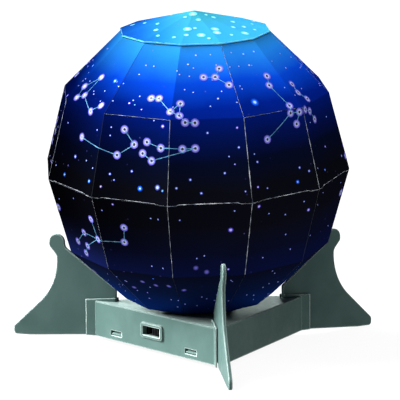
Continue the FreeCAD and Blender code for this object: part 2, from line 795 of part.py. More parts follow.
# ---------------------------------------------------------------- wires
def route(points, bend):
    """A round wire along straight runs joined by arcs of one bend radius."""
    edges = []
    start = points[0]
    for k in range(1, len(points) - 1):
        before = (points[k - 1] - points[k]).normalize()
        after = (points[k + 1] - points[k]).normalize()
        half = before.getAngle(after) / 2
        back = bend / math.tan(half)
        a = points[k] + before * back
        b = points[k] + after * back
        middle = (before + after).normalize()
        centre = points[k] + middle * (bend / math.sin(half))
        crown = centre - middle * bend
        edges.append(Part.LineSegment(start, a).toShape())
        edges.append(Part.Arc(a, crown, b).toShape())
        start = b
    edges.append(Part.LineSegment(start, points[-1]).toShape())
    path = Part.Wire(edges)
    first = (points[1] - points[0]).normalize()
    section = Part.Wire(Part.makeCircle(wire_radius, points[0], first))
    return path.makePipeShell([section], True, True)


def up_axis(level, x=0.0, y=0.0):
    return on_axis.multVec(V(x, y, level))


def wires():
    """Cell to switch, switch to lamp and cell to lamp, laid over the bay and up through the post."""
    over = bay_roof + wire_radius + 0.1
    over_level = (over - dome_centre.z) / math.cos(lean)
    lamp_level = socket_bottom - 0.3
    side_a = math.radians(side_normal)
    out = V(math.cos(side_a), math.sin(side_a), 0)
    along = V(-math.sin(side_a), math.cos(side_a), 0)
    pin = out * (switch_face - switch_plate_thick - switch_body_size[2] - 2.4)
    pin_low = V(0, 0, switch_height + 0.35)
    pin_high = V(0, 0, over)
    side_pin = pin + along * terminal_pitch
    tag_x = -(bay_half_x - 0.1)
    first = route([V(tag_x - 0.6, bay_y - cell_offset, over), V(tag_x - 5.0, bay_y - bay_half_y - 2.0, over),
                   pin + pin_high, pin + pin_low], 2.0)
    second = route([side_pin + pin_low, side_pin + pin_high, V(-4.0, bay_y - bay_half_y, over),
                    up_axis(over_level, -1.4), up_axis(lamp_level, -1.4)], 1.8)
    third = route([V(tag_x + contact_thick + 0.4, bay_y + cell_offset, over),
                   V(tag_x / 2, bay_y + cell_offset + 4.0, over),
                   up_axis(over_level, 1.4), up_axis(lamp_level, 1.4)], 1.8)
    return {"wire_cells_switch": first, "wire_switch_lamp": second, "wire_cells_lamp": third}


# ---------------------------------------------------------------- write the parts
def main():
    save("base_housing", base_housing())
    save("base_plate", base_plate())
    plain_leg = leg()
    for name, angle in leg_angles.items():
        save("leg_" + name, turned(plain_leg, angle))
    save("switch_plate", switch_plate())
    save("switch_body", switch_body())
    save("switch_terminals", switch_terminals())
    save("switch_knob", switch_knob())
    save("battery_door", battery_door())
    save("door_screw", screw_up(plate_bottom + head_sink, door_screw_length, door_screw_x, bay_y))
    save("plate_screws", plate_screws())
    save("cell_front", cell(-1))
    save("cell_rear", cell(1))
    save("contact_bridge", contact_bridge())
    save("contact_positive", end_contact(bay_y - cell_offset))
    save("contact_negative", end_contact(bay_y + cell_offset))
    for name, wire in wires().items():
        save(name, wire)
    save("turntable_ring", placed(turntable_ring(), on_axis))
    save("lamp_plate", placed(lamp_plate(), on_axis))
    save("lamp_plate_screws", placed(lamp_plate_screws(), on_axis))
    save("lamp_post", placed(lamp_post(), on_axis))
    save("lamp_socket", placed(lamp_socket(), on_axis))
    save("socket_insulator", placed(socket_insulator(), on_axis))
    save("lamp_cap", placed(lamp_cap(), on_axis))
    save("lamp_glass", placed(lamp_glass(), on_axis))
    save("lamp_filament", placed(filament(), on_axis))
    save("dome_top_cap", placed(top_cap(), on_axis))
    save("dome_bottom_panel", placed(bottom_panel(), on_axis))
    for k in range(dome_sides // 2):
        save("dome_gore_%d" % (k + 1), placed(upper_gore(k), on_axis))
        save("dome_side_panel_%d" % (k + 1), placed(side_panel(k), on_axis))
    for k in range(dome_sides):
        save("dome_lower_strip_%02d" % (k + 1), placed(lower_strip(k), on_axis))


main()
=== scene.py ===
"""Dresses the planetarium projector: the printed card dome, the moulded base and lamp, and a plain studio.

Metres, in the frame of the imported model: +Z up, front leg towards -Y.
"""
import bpy
import json
import math
import random
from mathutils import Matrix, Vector


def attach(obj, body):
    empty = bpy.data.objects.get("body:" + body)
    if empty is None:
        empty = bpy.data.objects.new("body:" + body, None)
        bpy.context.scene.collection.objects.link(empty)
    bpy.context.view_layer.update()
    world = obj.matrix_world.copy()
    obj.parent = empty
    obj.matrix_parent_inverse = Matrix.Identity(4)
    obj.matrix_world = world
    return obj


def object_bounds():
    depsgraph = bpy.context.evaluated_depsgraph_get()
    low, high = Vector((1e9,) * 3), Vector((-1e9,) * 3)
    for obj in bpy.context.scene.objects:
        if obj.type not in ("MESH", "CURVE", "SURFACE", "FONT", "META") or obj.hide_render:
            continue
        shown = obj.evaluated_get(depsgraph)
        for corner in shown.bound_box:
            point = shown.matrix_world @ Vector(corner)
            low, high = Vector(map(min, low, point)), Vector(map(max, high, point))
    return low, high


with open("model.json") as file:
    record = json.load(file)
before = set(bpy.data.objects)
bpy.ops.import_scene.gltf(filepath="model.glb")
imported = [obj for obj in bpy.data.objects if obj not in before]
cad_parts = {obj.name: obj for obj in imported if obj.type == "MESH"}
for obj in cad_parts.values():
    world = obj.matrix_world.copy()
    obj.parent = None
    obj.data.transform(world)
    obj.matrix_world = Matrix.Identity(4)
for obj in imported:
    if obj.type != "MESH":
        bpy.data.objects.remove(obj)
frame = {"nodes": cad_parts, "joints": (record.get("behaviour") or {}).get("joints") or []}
cad_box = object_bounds()
NODES = frame["nodes"]
MM = 0.001

# ---------------------------------------------------------------- the studio: camera, light and floor
CAMERA_PLACE = (-0.1318, -1.2643, 0.2322)
VIEW_AZIMUTH = 84.17       # degrees from +X
VIEW_PITCH = -6.05
VIEW_ROLL = -0.39
LENS = 176.1
SENSOR = 36.0

# name: azimuth and elevation the light comes from, strength, size as an angle
LIGHTS = {
    "low_left": (153, 24, 14.7, 25),
    "high_left": (174, 52, 7.6, 40),
    "overhead": (-100, 62, 2.2, 45),
    "behind": (84, 14, 0.7, 25),
}
BEHIND_TINT = (0.82, 1.0, 0.95)
AMBIENT = 0.06
FLOOR_HALF = 500.0
FLOOR_PAPER = 0.06         # grey of the floor's paper, under its glow
FLOOR_PAPER_DARK = 0.05
FLOOR_GLOW = 0.94          # makes the floor as white as the photo's

# ---------------------------------------------------------------- the dome's own sizes
DOME_RADIUS = 100 * MM
CAP_PEAK = 99.8 * MM
CAP_RISE = 1.0126          # the cap lies over the gores
CAP_CUT = 2.0 * MM         # height over which its cut rim shows, painted light cyan
SIDES = 12
FIRST_LINE = -136.0
STEP = 360.0 / SIDES
LEVELS = (61.2, 30.0, 0.0, -30.0, -60.0)
turn = next(joint for joint in frame["joints"] if joint["name"] == "dome_turn")
CENTRE = Vector(turn["pos_m"])
AXIS = Vector(turn["axis"]).normalized()
TILT = Vector((0, 0, 1)).rotation_difference(AXIS)


def direction(azimuth, elevation):
    """Unit vector from angles in degrees."""
    a = math.radians(azimuth)
    e = math.radians(elevation)
    return Vector((math.cos(e) * math.cos(a), math.cos(e) * math.sin(a), math.sin(e)))


def make_camera():
    """The photo's view."""
    data = bpy.data.cameras.new("camera")
    data.lens = LENS
    data.sensor_width = SENSOR
    camera = bpy.data.objects.new("camera", data)
    camera.location = CAMERA_PLACE
    aim = direction(VIEW_AZIMUTH, VIEW_PITCH)
    turned = aim.to_track_quat("-Z", "Y").to_matrix()
    side = turned.col[0]
    up = turned.col[1]
    roll = math.radians(VIEW_ROLL)
    right = math.cos(roll) * side + math.sin(roll) * up
    upward = -math.sin(roll) * side + math.cos(roll) * up
    for k in range(3):
        turned[k][0] = right[k]
        turned[k][1] = upward[k]
    camera.rotation_euler = turned.to_euler()
    bpy.context.collection.objects.link(camera)
    bpy.context.scene.camera = camera


# ---------------------------------------------------------------- materials
BLACK = (0.0, 0.0, 0.0, 1.0)
MIDDLE = (0.3, 0.7)        # most of a noise's values lie between these
RAYS = 6                   # per point, to find rounded edges and recesses

# how often a texture repeats in a metre
FLOW = 45                  # slow drift of colour in a moulding
RUB = 90                   # patches of wear and of painted highlight along its edges
PLASTIC_GLOSS = 300
SPARK = 2600               # fine grain of the eroded mould
METAL_GLOSS = 140
METAL_MARKS = 900          # from forming and plating
CARD_GLOSS = 220
CARD_FIBRE = 1500
INK = 260                  # uneven ink
INK_GRAIN = 1800
CLOUD = 14                 # uneven sky
SPECKS = 170               # the finest printed stars
SPECK_PATCHES = 50         # where these show
GLASS_GLOSS = 60
FILAMENT_SOOT = 900
WRAP_PRINT = 500
WRAP_GRAIN = 700

GRAIN_DEPTH = 0.04 * MM
SPARK_DEPTH = 0.06 * MM
EDGE_ROUND = 1.2 * MM      # moulded edges look rounded by this much, and their wear and painted highlight are as wide
EDGE_TURN = (0.004, 0.1)   # 1 - cosine of the turn over such an edge: no wear and no painted highlight, full
WEAR_AND_HIGHLIGHT_AIR = (0.72, 0.97)    # edges get wear and painted highlight where this much air is round them: none, all
SHADED_AIR = (0.2, 0.75)   # air round a point for the painted shade in recesses: darkest, none
# colour and strength of the painted shade in recesses
PAINTED_SHADE = (0.004, 0.009, 0.008, 1.0)
MOST_PAINTED_SHADE = 0.4
CREVICE = 6.0 * MM         # how far air is looked for
LIT_TOP_SLOPE = (0.8, 1.0)     # upward part of the normal: no painted light, full painted light
TOP_PAINTED_LIGHT = 0.2             # how far faces that look up are lightened towards the colour of worn and lit edges: painted light
WRAP_END = 12 * MM         # where the cells' copper colour starts


class Graph:
    """A node material, with short calls to add and join nodes."""

    def __init__(self, name):
        self.material = bpy.data.materials.new(name)
        self.material.use_nodes = True
        self.tree = self.material.node_tree
        self.shader = self.tree.nodes["Principled BSDF"]

    def add(self, kind, inputs=None, **settings):
        """A new node with its settings, and its inputs set or joined."""
        node = self.tree.nodes.new("ShaderNode" + kind)
        for name, value in settings.items():
            setattr(node, name, value)
        for name, value in (inputs or {}).items():
            self.put(node.inputs[name], value)
        return node

    def put(self, socket, value):
        if isinstance(value, bpy.types.NodeSocket):
            self.tree.links.new(value, socket)
        else:
            socket.default_value = value

    def finish(self, **inputs):
        """Sets the shader's own inputs and returns the material."""
        for name, value in inputs.items():
            self.put(self.shader.inputs[name.replace("_", " ")], value)
        return self.material

    def math(self, operation, first, second):
        return self.add("Math", {0: first, 1: second}, operation=operation).outputs[0]

    def place(self):
        """Where a point is in its piece's own space, in metres."""
        return self.add("TexCoord").outputs["Object"]

    def own_normal(self):
        """The face's normal in the piece's own space, so that it turns with the piece."""
        inputs = {"Vector": self.add("NewGeometry").outputs["True Normal"]}
        return self.add("VectorTransform", inputs, vector_type="NORMAL", convert_from="WORLD",
                        convert_to="OBJECT").outputs[0]

    def along(self, vector, axis):
        return self.add("VectorMath", {0: vector, 1: axis}, operation="DOT_PRODUCT").outputs["Value"]

    def noise(self, scale, detail=4.0, roughness=0.55):
        inputs = {"Vector": self.place(), "Scale": scale, "Detail": detail, "Roughness": roughness}
        return self.add("TexNoise", inputs).outputs["Fac"]

    def spread(self, value, low, high, to_low=0.0, to_high=1.0, kind="SMOOTHSTEP"):
        """Maps low..high to to_low..to_high, held at the ends."""
        inputs = {"Value": value, "From Min": low, "From Max": high, "To Min": to_low, "To Max": to_high}
        return self.add("MapRange", inputs, interpolation_type=kind).outputs["Result"]

    def ramp(self, value, stops):
        """The colour at a value between (value, colour) stops."""
        node = self.add("ValToRGB", {"Fac": value})
        ramp = node.color_ramp
        while len(ramp.elements) < len(stops):
            ramp.elements.new(0.5)
        for element, (place, colour) in zip(ramp.elements, stops):
            element.position = place
            element.color = colour
        return node.outputs["Color"]

    def mix(self, share, first, second, blend="MIX"):
        """Colours mixed: all first at share 0, all second at 1."""
        node = self.add("Mix", data_type="RGBA", blend_type=blend)
        self.put(node.inputs[0], share)
        self.put(node.inputs[6], first)
        self.put(node.inputs[7], second)
        return node.outputs[2]

    def bump(self, height, strength, distance, normal=None):
        bump = self.add("Bump", {"Height": height, "Strength": strength, "Distance": distance})
        if normal:
            self.put(bump.inputs["Normal"], normal)
        return bump.outputs["Normal"]

    def card_finish(self, colour):
        """Matt coated card: paper grain in the surface and in the gloss."""
        return self.finish(Base_Color=colour,
                           Roughness=self.spread(self.noise(CARD_GLOSS), *MIDDLE, 0.55, 0.68),
                           Normal=self.bump(self.noise(CARD_FIBRE, 3), 0.08, GRAIN_DEPTH),
                           Specular_IOR_Level=0.0)


def rgb(red, green, blue):
    """A colour given as it looks on a screen, 0 to 255, in the linear values that shaders use."""
    def linear(value):
        value = value / 255
        return value / 12.92 if value < 0.04045 else ((value + 0.055) / 1.055) ** 2.4
    return (linear(red), linear(green), linear(blue), 1.0)


def moulded_plastic(name, colour, dark, light, roughness=0.42):
    """Moulded plastic: drifting colour, tops lightened as painted light, recesses darkened as painted shade,
    edges lightened by wear and painted highlight, and a fine grain.
    """
    g = Graph(name)
    body = g.mix(g.spread(g.noise(FLOW), 0.35, 0.65), colour, dark)
    upward = g.add("SeparateXYZ", {0: g.own_normal()}).outputs["Z"]
    # painted light: faces that look up are lightened towards the third colour
    body = g.mix(g.spread(upward, *LIT_TOP_SLOPE, 0.0, TOP_PAINTED_LIGHT), body, light)
    air = g.add("AmbientOcclusion", {"Distance": CREVICE}, samples=RAYS, only_local=True).outputs["AO"]
    # painted shade: recesses with little air round them are darkened
    body = g.mix(g.spread(air, *SHADED_AIR, MOST_PAINTED_SHADE, 0.0), body, PAINTED_SHADE)
    rounded = g.add("Bevel", {"Radius": EDGE_ROUND}, samples=RAYS).outputs["Normal"]
    turn = g.math("SUBTRACT", 1.0, g.along(rounded, g.add("NewGeometry").outputs["True Normal"]))
    wear_and_highlight_patches = g.math("MULTIPLY", g.spread(g.noise(RUB), 0.3, 0.6, 0.7, 1.0), g.spread(air, *WEAR_AND_HIGHLIGHT_AIR))
    # edges lightened towards the third colour: partly wear, partly painted highlight
    worn = g.math("MULTIPLY", g.spread(turn, *EDGE_TURN), wear_and_highlight_patches)
    rough = g.spread(g.noise(PLASTIC_GLOSS), *MIDDLE, roughness - 0.05, roughness + 0.08)
    grain = g.bump(g.noise(SPARK, 2), 0.25, SPARK_DEPTH, rounded)
    return g.finish(Base_Color=g.mix(worn, body, light), Roughness=rough, Normal=grain,
                    Specular_IOR_Level=0.02)


def metal(name, colour, roughness):
    """Plated or drawn metal with fine darker marks."""
    g = Graph(name)
    marks = g.noise(METAL_MARKS, 3)
    darker = tuple(0.75 * c for c in colour[:3]) + (1.0,)
    rough = g.spread(g.noise(METAL_GLOSS), *MIDDLE, roughness - 0.07, roughness + 0.1)
    return g.finish(Base_Color=g.mix(g.spread(marks, *MIDDLE), colour, darker), Metallic=1.0, Roughness=rough,
                    Normal=g.bump(marks, 0.15, GRAIN_DEPTH))


# the printed sky from the rim below (0) over the equator (0.5) to the peak (1)
SKY_STOPS = (
    (0.08, rgb(8, 40, 108)),
    (0.16, rgb(12, 27, 66)),
    (0.247, rgb(13, 17, 38)),
    (0.253, rgb(13, 21, 66)),
    (0.33, rgb(11, 15, 38)),
    (0.42, rgb(11, 12, 20)),
    (0.54, rgb(10, 11, 18)),
    (0.63, rgb(5, 11, 36)),
    (0.71, rgb(3, 18, 80)),
    (0.78, rgb(1, 26, 120)),
    (0.84, rgb(6, 62, 190)),
    (0.91, rgb(32, 124, 220)),
    (0.99, rgb(52, 148, 172)),
)
LIGHT_SIDE = -35.0         # azimuth of the side where the sky is lightest: partly the print's gradient, partly painted shade
TONE_REACH = (-0.68, 0.85)  # radii towards that side: darkest, lightest
DARK_TONE = 0.06           # how much of the sky's brightness is left where it is darkest: partly print, partly painted shade
LOW_TONE = 0.65            # and all round the lower part, also partly painted shade
LOW_HEIGHTS = (-0.55, -0.2)  # in radii: all lower part, none of it
CLOUD_HEIGHTS = (-0.45, -0.2)  # no cloud, full cloud
CLOUD_SHARE = 0.07
CAP_DARK_SIDE = 174.0      # azimuth towards which the cap's sky turns to a deeper blue: partly print, partly painted shade
CAP_DARK_REACH = 0.42      # radii to there
CAP_DARK_SHIFT = 0.075     # down the stops of the sky
CAP_SLACK = 0.002          # in radii, so that all of the cap's outer face counts as cap
DIM_BELOW = 0.45           # light print is darkened with the sky's tone, partly painted shade, where that is lower than this
DIM_LEAST = 0.25           # to this share
OUTER_FACE = 0.6           # cosine to the outward direction from which a face is an outer one
CUT_SHOWS = 0.15           # how much of bare card shows on a cut
SPECK_SHOWS = 0.4
STAR_WHITE = rgb(172, 178, 226)
STAR_VIOLET = rgb(104, 98, 200)
CARD_WHITE = rgb(232, 234, 232)
CARD_CUT = rgb(165, 174, 188)
CAP_RIM_PAINTED_LIGHT = rgb(104, 212, 250)


def sky_colour(g):
    """The printed night sky, nearly black round the equator, blue towards the rim and cyan towards the peak.

    Also gives the place from the dome's centre, and the tone that darkens the sky on one side and below:
    partly the print's gradient, partly painted shade.
    """
    from_centre = g.add("VectorMath", {0: g.place(), 1: CENTRE}, operation="SUBTRACT").outputs[0]
    height = g.along(from_centre, AXIS / DOME_RADIUS)
    side = g.along(from_centre, direction(LIGHT_SIDE, 0) / DOME_RADIUS)
    # partly print, partly painted shade: darker away from one side, and evenly darker round the lower part
    tone = g.spread(side, *TONE_REACH, DARK_TONE, 1.0)
    cloudy = g.spread(height, *CLOUD_HEIGHTS, 0.0, CLOUD_SHARE)
    cloud = g.math("MULTIPLY", g.math("SUBTRACT", g.noise(CLOUD), 0.5), cloudy)
    # partly print, partly painted shade: the cap turns deeper blue towards one side
    dark_side = g.along(from_centre, direction(CAP_DARK_SIDE, 0) / DOME_RADIUS)
    deeper = g.spread(dark_side, 0.0, CAP_DARK_REACH, 0.0, CAP_DARK_SHIFT)
    on_cap = g.math("GREATER_THAN", height, CAP_RIM_HEIGHT / DOME_RADIUS - CAP_SLACK)
    shift = g.math("SUBTRACT", cloud, g.math("MULTIPLY", deeper, on_cap))
    level = g.math("ADD", g.spread(height, -1.0, 1.0, kind="LINEAR"), shift)
    lower = g.spread(height, *LOW_HEIGHTS, 1.0, 0.0)
    upper_tone = g.math("MULTIPLY", tone, g.math("SUBTRACT", 1.0, lower))
    share = g.math("ADD", upper_tone, g.math("MULTIPLY", lower, LOW_TONE))
    return g.mix(share, BLACK, g.ramp(level, SKY_STOPS)), from_centre, tone


def printed_card(name):
    """Card with the sky outside, nearly bare where it was cut, painted light in cyan on the cap's cut rim,
    white inside.
    """
    g = Graph(name)
    sky, from_centre, _ = sky_colour(g)
    specks = g.add("TexVoronoi", {"Vector": g.place(), "Scale": SPECKS, "Randomness": 1.0})
    dot = g.spread(specks.outputs["Distance"], 0.06, 0.11, 1.0, 0.0)
    dots = g.math("MULTIPLY", dot, g.spread(g.noise(SPECK_PATCHES), 0.48, 0.72))
    printed = g.mix(g.math("MULTIPLY", dots, SPECK_SHOWS), sky, STAR_VIOLET)
    outward = g.add("VectorMath", {0: from_centre}, operation="NORMALIZE").outputs[0]
    facing = g.along(outward, g.own_normal())
    # painted light: the cap's cut rim, in shade under its lip, is coloured light cyan
    at_rim = g.math("GREATER_THAN", g.along(from_centre, AXIS), CAP_RIM_HEIGHT - CAP_CUT)
    cut = g.mix(at_rim, g.mix(CUT_SHOWS, sky, CARD_CUT), CAP_RIM_PAINTED_LIGHT)
    plain = g.mix(g.math("GREATER_THAN", facing, -OUTER_FACE), CARD_WHITE, cut)
    return g.card_finish(g.mix(g.math("GREATER_THAN", facing, OUTER_FACE), plain, printed))


def dimmed(g, tone):
    """Share of its brightness that light print keeps where the sky's tone, partly painted shade, is dark."""
    return g.spread(tone, 0.0, DIM_BELOW, DIM_LEAST, 1.0)


def star_material(name, middle, glow, full, fade):
    """A printed star: its middle colour to the share `full` of its radius, then a glow into the sky."""
    g = Graph(name)
    sky, _, tone = sky_colour(g)
    reach = g.add("Attribute", attribute_name="reach").outputs["Fac"]
    star = g.mix(g.spread(reach, full, fade), middle, g.mix(1.0, sky, glow, "LIGHTEN"))
    core = g.mix(dimmed(g, tone), BLACK, star)
    return g.card_finish(g.mix(g.spread(reach, fade, 1.0), core, sky))


def uneven(g, colour, other):
    """Two tones of one ink, in small patches."""
    return g.mix(g.spread(g.noise(INK), 0.35, 0.65), colour, other)


def dome_print(name, colour, other):
    """Plain ink or bare card on the dome, in two tones."""
    g = Graph(name)
    _, _, tone = sky_colour(g)
    return g.card_finish(g.mix(dimmed(g, tone), BLACK, uneven(g, colour, other)))


def plain_print(name, colour, other, roughness=0.5):
    """Ink or insulation in two tones, not darkened by the sky's tone."""
    g = Graph(name)
    return g.finish(Base_Color=uneven(g, colour, other), Roughness=roughness,
                    Normal=g.bump(g.noise(INK_GRAIN, 3), 0.15, GRAIN_DEPTH))


def glass():
    g = Graph("lamp_glass")
    return g.finish(Base_Color=(1, 1, 1, 1), Roughness=g.spread(g.noise(GLASS_GLOSS), *MIDDLE, 0.0, 0.03),
                    Transmission_Weight=1.0, IOR=1.47)


def filament():
    g = Graph("lamp_filament")
    return g.finish(Base_Color=g.mix(g.noise(FILAMENT_SOOT), rgb(150, 140, 125), rgb(90, 84, 76)),
                    Metallic=1.0, Roughness=0.35)


def cell_wrap():
    """Printed film round a cell: dark with a copper-coloured end, by the place along the cell."""
    g = Graph("cell_wrap")
    along = g.add("SeparateXYZ", {0: g.place()}).outputs["X"]
    body = g.mix(g.math("GREATER_THAN", along, WRAP_END), rgb(26, 27, 30), rgb(176, 104, 62))
    worn = g.spread(g.noise(WRAP_PRINT), 0.4, 0.7, 0, 0.25)
    return g.finish(Base_Color=g.mix(worn, body, rgb(120, 118, 114)), Metallic=0.35, Roughness=0.3,
                    Normal=g.bump(g.noise(WRAP_GRAIN), 0.1, GRAIN_DEPTH))


def dress_frame():
    """Gives every CAD node the finish of its slot; the legs get a darker copy of the housing's plastic as
    painted shade, and the bottom plate a copy with dimmer painted highlights.
    """
    finishes = {
        # the third colour of each plastic is the painted light on its tops and the wear and painted highlight
        # on its edges
        "base_plastic": moulded_plastic("base_plastic", rgb(70, 92, 88), rgb(64, 86, 82), rgb(190, 206, 201)),
        "black_plastic": moulded_plastic("black_plastic", rgb(5, 6, 7), rgb(8, 9, 10), rgb(18, 19, 20), 0.4),
        "plated_steel": metal("plated_steel", rgb(196, 198, 200), 0.28),
        "brass": metal("brass", rgb(214, 178, 110), 0.25),
        "cell_wrap": cell_wrap(),
        "wire_red": plain_print("wire_red", rgb(170, 28, 24), rgb(150, 22, 20), 0.4),
        "wire_black": plain_print("wire_black", rgb(24, 24, 26), rgb(34, 34, 36), 0.4),
        "clear_glass": glass(),
        "filament": filament(),
        "sky_card": printed_card("sky_card"),
        "sky_card_bright": printed_card("sky_card_bright"),
        "dark_card": plain_print("dark_card", rgb(14, 20, 44), rgb(20, 27, 52), 0.55),
    }
    # darker copy for the legs: painted shade; the bottom plate's copy has dimmer painted highlights
    legs = moulded_plastic("leg_plastic_painted_shade", rgb(64, 84, 81), rgb(58, 78, 75), rgb(184, 200, 195))
    plate = moulded_plastic("plate_plastic_dim_highlight", rgb(70, 92, 88), rgb(64, 86, 82), rgb(88, 110, 105))
    own = {"leg_front": legs, "leg_left": legs, "leg_right": legs, "base_plate": plate}
    for name, node in NODES.items():
        for place in node.material_slots:
            place.material = own.get(name) or finishes[place.material.name.split(".")[0]]


# ---------------------------------------------------------------- places on the dome
def corner(level, line):
    """Where a line of the dome crosses a level, from the dome's centre."""
    return TILT @ (direction(FIRST_LINE + STEP * line, LEVELS[level]) * DOME_RADIUS)


def plane(a, b, c):
    """(normal, distance) of the plane through three points about the dome's centre, normal outwards."""
    normal = (b - a).cross(c - a).normalized()
    if normal.dot(a) < 0:
        normal = -normal
    return normal, normal.dot(a)


def column_planes(column):
    """The flat faces of one column under the cap, from the top down."""
    found = []
    for level in range(len(LEVELS) - 1):
        found.append(plane(corner(level, column), corner(level, column + 1), corner(level + 1, column)))
    return found


def cap_rim(line):
    """The same on the cap's outer face."""
    return corner(0, line) * CAP_RISE


PLANES = [column_planes(column) for column in range(SIDES)]
CAP_TOP = AXIS * CAP_PEAK * CAP_RISE
CAP_PLANES = [plane(cap_rim(column), cap_rim(column + 1), CAP_TOP) for column in range(SIDES)]
CAP_RIM_HEIGHT = AXIS.dot(cap_rim(0))


def lay(toward, lift):
    """Point on the card's outer face in a direction from the dome's centre, and the normal there."""
    flat = TILT.inverted() @ toward
    azimuth = math.degrees(math.atan2(flat.y, flat.x)) - FIRST_LINE
    column = int(azimuth % 360 // STEP)
    normal, distance = CAP_PLANES[column]
    slope = normal.dot(toward)
    if slope > 0 and AXIS.dot(toward) * distance / slope >= CAP_RIM_HEIGHT:
        return CENTRE + toward * distance / slope + normal * lift, normal
    found = [(d / n.dot(toward), n) for n, d in PLANES[column] if n.dot(toward) > 0]
    reach, normal = min(found, key=lambda hit: hit[0])
    return CENTRE + toward * reach + normal * lift, normal


def on_card(azimuth, latitude, lift):
    """The same for angles about the dome's axis in degrees; azimuth counts from the first corner line."""
    return lay(TILT @ direction(FIRST_LINE + azimuth, latitude), lift)


# ---------------------------------------------------------------- the print: stars, figures and cut edges
PRINT_LIFT = 0.06 * MM     # how far print lies over the card
LINE_LIFT = 0.09 * MM
PINHOLE_LIFT = 0.12 * MM
SEAM_LIFT = 0.04 * MM
EDGE_LIFT = -0.03 * MM     # under it, where the corner of two faces stands out


class Decal:
    """Gathers flat printed shapes into one mesh that rides on the dome."""

    def __init__(self, name, material, slot="sky_card", lift=PRINT_LIFT):
        self.name = name
        self.material = material
        self.slot = slot
        self.lift = lift
        self.points = []
        self.faces = []
        self.reach = []

    def disc(self, azimuth, latitude, radius, rings, sides, faint=0.0):
        """A round dot; a faint one starts at this share of its fading."""
        middle, normal = on_card(azimuth, latitude, self.lift)
        side = normal.orthogonal().normalized()
        other = normal.cross(side)
        start = len(self.points)
        for share in rings:
            for k in range(sides):
                a = math.tau * k / sides
                spot = middle + (side * math.cos(a) + other * math.sin(a)) * radius * share
                self.points.append(lay((spot - CENTRE).normalized(), self.lift)[0])
                self.reach.append(faint + (1 - faint) * share)
        for ring in range(len(rings) - 1):
            low = start + ring * sides
            for k in range(sides):
                m = (k + 1) % sides
                self.faces.append((low + k, low + m, low + sides + m, low + sides + k))
        self.faces.append([start + k for k in range(sides)])

    def ribbon(self, places, widths):
        """A ribbon through (point, normal) places, as wide as given at each."""
        start = len(self.points)
        last = len(places) - 1
        for k, (point, normal) in enumerate(places):
            ahead = places[min(k + 1, last)][0] - places[max(k - 1, 0)][0]
            across = normal.cross(ahead).normalized() * widths[k] / 2
            self.points.extend((point + across, point - across))
            self.reach.extend((0.0, 0.0))
        for k in range(last):
            low = start + 2 * k
            self.faces.append((low, low + 1, low + 3, low + 2))

    def build(self):
        """Makes the piece, kept inside the CAD box."""
        mesh = bpy.data.meshes.new(self.name)
        low, high = cad_box
        points = [[min(max(p[k], low[k]), high[k]) for k in range(3)] for p in self.points]
        mesh.from_pydata(points, [], self.faces)
        marks = mesh.attributes.new("reach", "FLOAT", "POINT")
        marks.data.foreach_set("value", self.reach)
        mesh.materials.append(self.material)
        piece = bpy.data.objects.new(self.name, mesh)
        bpy.context.collection.objects.link(piece)
        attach(piece, "dome")


# Star figures on the side that is seen first: (azimuth, latitude) of each star, and which are joined.
NEAR_FIGURES = (
    ([(-19, 44), (-26, 38), (-25, 33), (-21, 35), (-10, 30), (-5, 33)],
     [(0, 1), (0, 3), (1, 2), (2, 3), (3, 4), (4, 5)]),
    ([(19, 39), (23, 39), (29.6, 33.4), (33.5, 37), (33.5, 32), (36, 29.6), (40, 29.6)],
     [(0, 1), (1, 2), (2, 3), (2, 4), (3, 4), (4, 5), (5, 6)]),
    ([(-13, 20), (8, 16.3), (15, 21), (10, 26)], [(0, 1), (1, 2), (2, 3)]),
    ([(20.5, 22.3), (26.6, 20.3), (35, 20.2), (40, 20.5), (19, 18), (23, 15.5)],
     [(0, 1), (1, 2), (2, 3), (4, 5), (5, 3)]),
    ([(45, 48.6), (51.5, 48.3), (54.7, 51.7), (57.8, 44.2)], [(0, 1), (1, 2), (1, 3)]),
    ([(82.5, 46), (80.5, 42), (84.5, 32), (83.5, 29.3), (88, 28.8), (85.5, 25), (70, 21.7)],
     [(0, 1), (1, 2), (2, 3), (3, 4), (4, 5), (3, 6)]),
    ([(95.5, 40), (95, 36), (98.5, 32.5), (92, 29), (96, 28), (99, 24.5)],
     [(0, 1), (1, 2), (3, 4), (4, 5)]),
    ([(11, -11.5), (10, -18), (-2.7, -18.4), (-4.4, -10.3), (-13, -18.5), (-20.5, -24), (-13, -24.3),
      (-16, -28)],
     [(0, 1), (1, 2), (2, 3), (2, 4), (4, 5), (2, 6), (6, 7)]),
)

# Stars of a figure low on that side, too faint to see how they are joined.
FAINT_STARS = ((5, -43), (13, -37.5), (19.5, -39), (26.5, -37.7), (33.4, -40.4), (39.5, -27), (44, -29))

# Old star figures for the far side, in degrees about their own middle.
PLOUGH = ([(-13, 4), (-8, 4), (-4, 2), (0, 0), (1, -5), (9, -5), (9, 1)],
          [(0, 1), (1, 2), (2, 3), (3, 4), (4, 5), (5, 6), (6, 3)])
QUEEN = ([(-9, 3), (-4, -2), (0, 2), (5, -3), (9, 2)], [(0, 1), (1, 2), (2, 3), (3, 4)])
HUNTER = ([(-4, 8), (5, 7), (-2, 1), (0, 0), (2, -1), (-4, -8), (5, -7)],
          [(0, 1), (0, 2), (1, 4), (2, 3), (3, 4), (2, 5), (4, 6)])
SWAN = ([(0, 8), (0, 4), (-7, 2), (7, 4), (-1, -2), (-2, -9)], [(0, 1), (1, 2), (1, 3), (1, 4), (4, 5)])
SCORPION = ([(-7, 8), (-9, 4), (-5, 3), (-2, -2), (-1, -6), (3, -9), (8, -7), (7, -3)],
            [(0, 2), (1, 2), (2, 3), (3, 4), (4, 5), (5, 6), (6, 7)])
CROSS = ([(0, 4), (0, -5), (-4, 0), (3, 1)], [(0, 1), (2, 3)])
